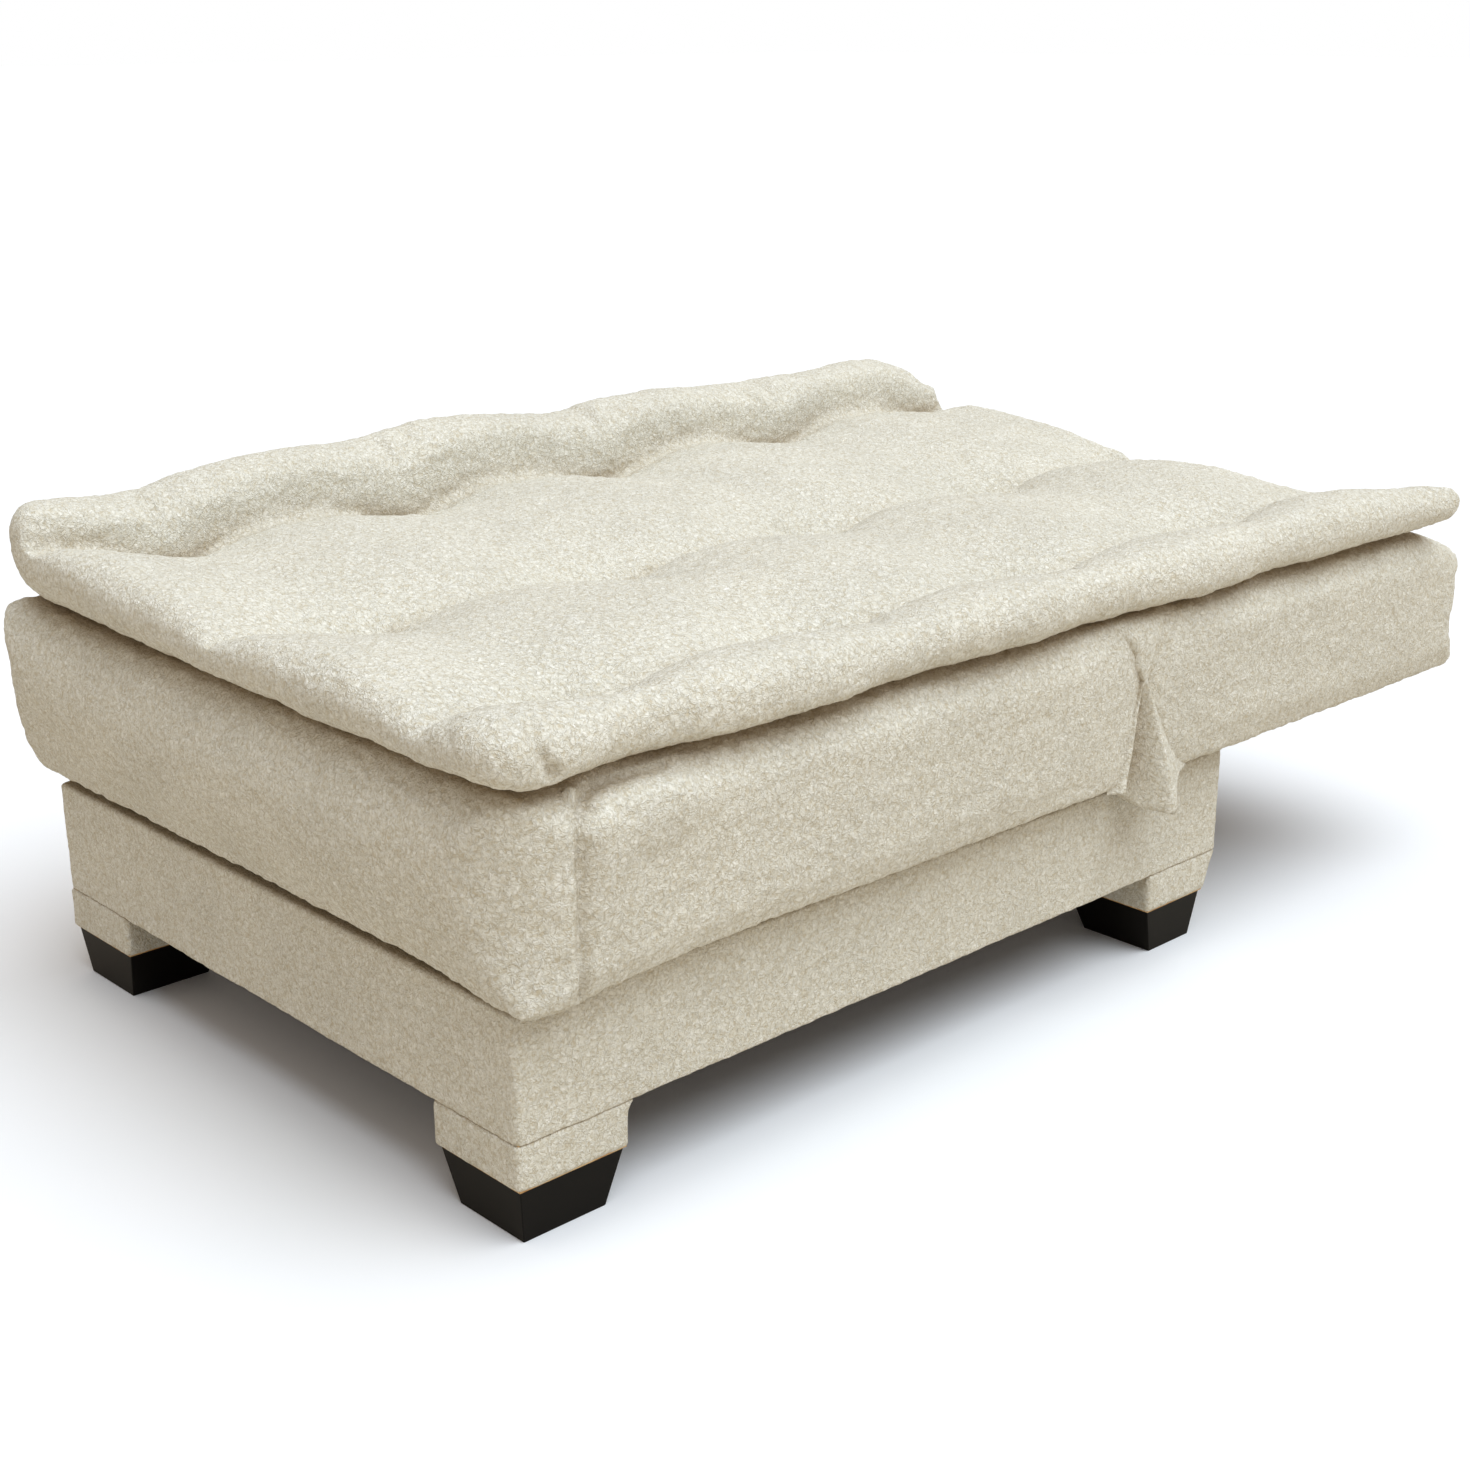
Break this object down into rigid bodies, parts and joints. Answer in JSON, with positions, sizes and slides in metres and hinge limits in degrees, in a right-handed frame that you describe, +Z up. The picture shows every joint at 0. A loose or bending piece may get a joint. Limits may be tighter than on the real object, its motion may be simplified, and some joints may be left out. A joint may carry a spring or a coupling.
{
  "type": "chair bed",
  "caption": "Upholstered single chair bed, shown flat: box base on tapered feet, lifting seat, back on a ratchet hinge, quilted topper with side rolls.",
  "frame": {"origin": "centre of the bounding box at floor level, with the bed flat", "axes": "+Z up, +Y from the front of the seat to the end of the back, +X across the bed"},
  "size_m": [1.09, 1.763, 0.6469],
  "materials": {
    "boucle_fabric": "cream looped-pile upholstery cloth",
    "pine": "planed softwood",
    "zinc_steel": "zinc-plated steel",
    "dark_steel": "black painted steel plate",
    "spring_steel": "tempered strip",
    "foam": "open-cell polyurethane foam",
    "elastic_webbing": "woven elastic strap",
    "nonwoven": "black non-woven cloth",
    "black_plastic": "moulded, satin",
    "rubber": "dense strip"
  },
  "bodies": {
    "base": {"base_side_rails": "pine", "base_end_rails": "pine", "base_corner_blocks": "pine", "base_slats": "pine", "base_panels": "boucle_fabric", "base_dust_cover": "nonwoven", "leg_cores": "pine", "leg_covers": "boucle_fabric", "feet": "black_plastic", "foot_screws": "zinc_steel", "seat_buffers": "rubber", "pivot_brackets": "dark_steel", "bracket_screws": "zinc_steel", "base_pivot_bolts": "zinc_steel", "base_pivot_washers": "zinc_steel"},
    "seat": {"seat_side_rails": "pine", "seat_cross_rails": "pine", "seat_webbing": "elastic_webbing", "seat_foam": "foam", "seat_edge_padding": "foam", "seat_cover": "boucle_fabric", "seat_underside_cloth": "nonwoven", "seat_hinge_packers": "pine", "seat_arms": "dark_steel", "seat_arm_bolts": "zinc_steel", "fold_pivot_bolts": "zinc_steel", "fold_pivot_nuts": "zinc_steel", "fold_washers": "zinc_steel", "pawl_pins": "zinc_steel", "pawl_spring_left": "spring_steel", "pawl_spring_right": "spring_steel", "topper_seat": "boucle_fabric", "topper_fold": "boucle_fabric", "gusset_left": "boucle_fabric", "gusset_right": "boucle_fabric"},
    "back": {"back_side_rails": "pine", "back_cross_rails": "pine", "back_webbing": "elastic_webbing", "back_foam": "foam", "back_edge_padding": "foam", "back_cover": "boucle_fabric", "back_underside_cloth": "nonwoven", "back_hinge_packers": "pine", "back_arms": "dark_steel", "back_arm_bolts": "zinc_steel", "hinge_tie_tube": "dark_steel", "topper_back": "boucle_fabric"},
    "pawl_left_body": {"pawl_left": "dark_steel"},
    "pawl_right_body": {"pawl_right": "dark_steel"}
  },
  "joints": [
    {"name": "seat_lift", "type": "hinge", "parent": "base", "child": "seat", "pos_m": [0, 0.3085, 0.225], "axis": [-1, 0, 0], "range_deg": [0, 25]},
    {"name": "back_recline", "type": "hinge", "parent": "seat", "child": "back", "pos_m": [0, 0.1135, 0.45], "axis": [1, 0, 0], "range_deg": [0, 78], "deforming": ["topper_fold", "gusset_left", "gusset_right"]},
    {"name": "pawl_left_swing", "type": "hinge", "parent": "seat", "child": "pawl_left_body", "pos_m": [-0.438, 0.0385, 0.4065], "axis": [-1, 0, 0], "range_deg": [0, 10], "stiffness_Nm_per_rad": 0.5, "springref_deg": -11.46, "deforming": ["pawl_spring_left"]},
    {"name": "pawl_right_swing", "type": "hinge", "parent": "seat", "child": "pawl_right_body", "pos_m": [0.438, 0.0385, 0.4065], "axis": [-1, 0, 0], "range_deg": [0, 10], "stiffness_Nm_per_rad": 0.5, "springref_deg": -11.46, "deforming": ["pawl_spring_right"]}
  ]
}
